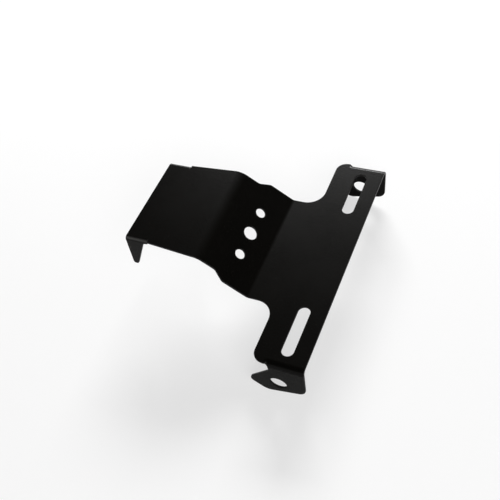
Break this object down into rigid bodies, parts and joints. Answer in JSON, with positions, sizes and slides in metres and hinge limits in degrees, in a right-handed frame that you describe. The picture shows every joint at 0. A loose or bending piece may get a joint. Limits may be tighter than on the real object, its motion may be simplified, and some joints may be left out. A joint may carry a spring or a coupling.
{
  "type": "tail tidy bracket",
  "caption": "Folded black sheet bracket that carries a motorcycle's number plate, indicators and plate light behind the tail.",
  "frame": {"origin": "midway between the two slots, on the top face of the lower plate", "axes": "+Z out of the lower plate's top face, Y along the cross bar, +X from the raised upper plate towards the bar's free edge"},
  "size_m": [0.1302, 0.156, 0.0541],
  "materials": {
    "coated_sheet": "satin black powder coat"
  },
  "bodies": {
    "root": {"bracket": "coated_sheet"}
  },
  "joints": []
}
